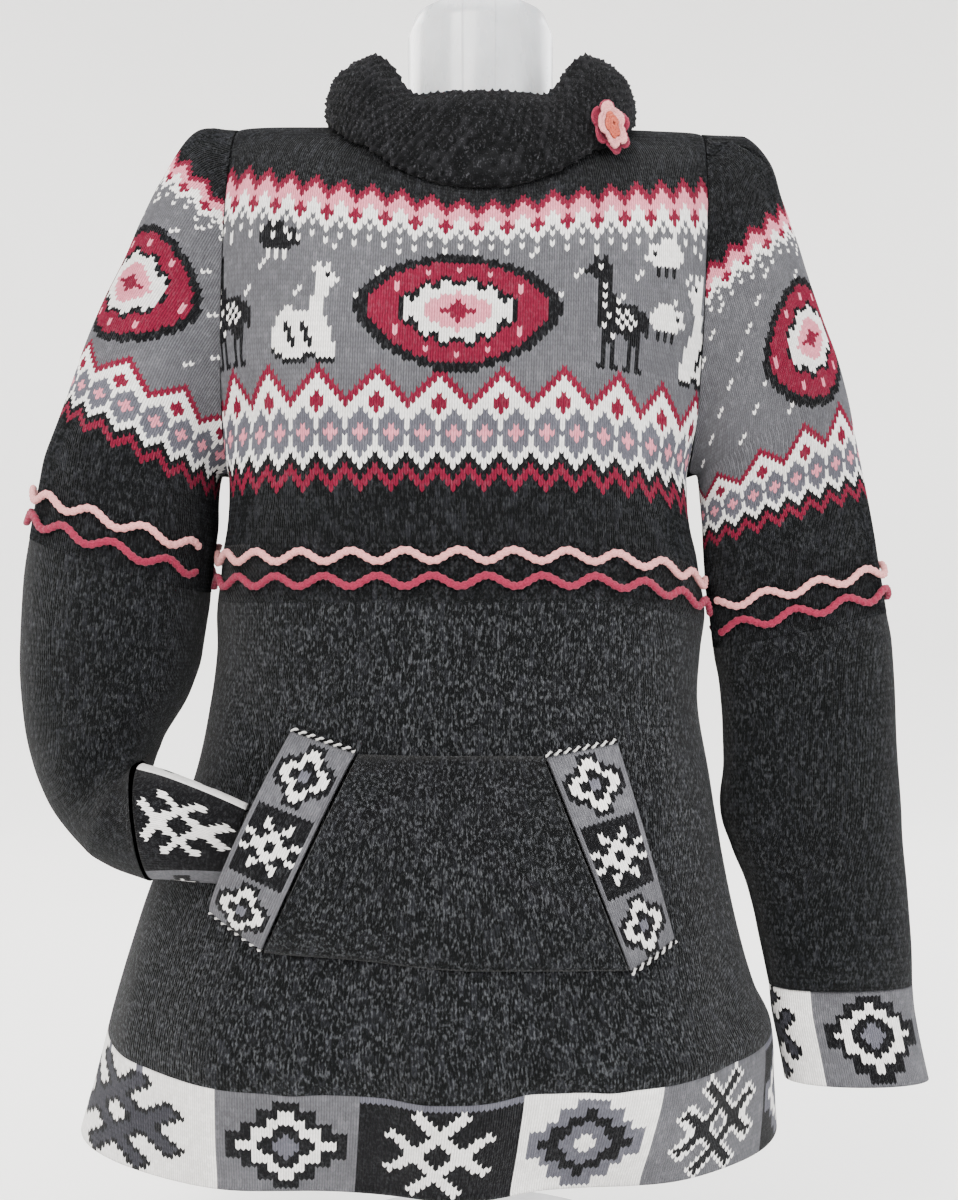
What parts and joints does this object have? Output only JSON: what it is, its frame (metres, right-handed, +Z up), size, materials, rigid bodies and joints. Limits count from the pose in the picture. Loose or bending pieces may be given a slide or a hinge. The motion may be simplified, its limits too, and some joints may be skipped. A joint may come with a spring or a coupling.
{
  "type": "knitted sweater on a limbless dress form",
  "caption": "Long knitted tunic sweater with folded collar, pouch and sewn wave cords, standing on a limbless dress form with one cuff in the pouch.",
  "frame": {"origin": "centre of the underside of the stand's round base", "axes": "+Z up, the sweater's front towards -Y, the viewer's right at +X"},
  "size_m": [0.6015, 0.2902, 0.9242],
  "materials": {
    "heather": "dark heather knit with a soft alpaca nap",
    "grey": "grey marl knit with a soft alpaca nap",
    "pink": "pale pink chain-stitch cord",
    "crimson": "crimson chain-stitch cord",
    "coral": "coral yarn",
    "plastic": "glossy translucent grey-white moulding",
    "steel": "satin steel"
  },
  "bodies": {
    "root": {"front_yoke": "heather", "back_yoke": "heather", "front_skirt": "heather", "back_skirt": "heather", "hem_band_front": "grey", "hem_band_back": "grey", "left_sleeve_upper": "heather", "left_sleeve_lower": "grey", "left_cuff": "grey", "right_sleeve_upper": "heather", "right_sleeve_lower": "grey", "right_cuff": "grey", "collar": "grey", "pouch": "heather", "pocket_band_left": "grey", "pocket_band_right": "grey", "cord_pink_front": "pink", "cord_crimson_front": "crimson", "cord_pink_back": "pink", "cord_crimson_back": "crimson", "cord_pink_left_sleeve": "pink", "cord_crimson_left_sleeve": "crimson", "cord_pink_right_sleeve": "pink", "cord_crimson_right_sleeve": "crimson", "flower_outer": "crimson", "flower_inner": "pink", "flower_centre": "coral", "form_torso": "plastic", "form_hook": "steel", "stand_pole": "steel", "stand_base": "steel"}
  },
  "joints": []
}
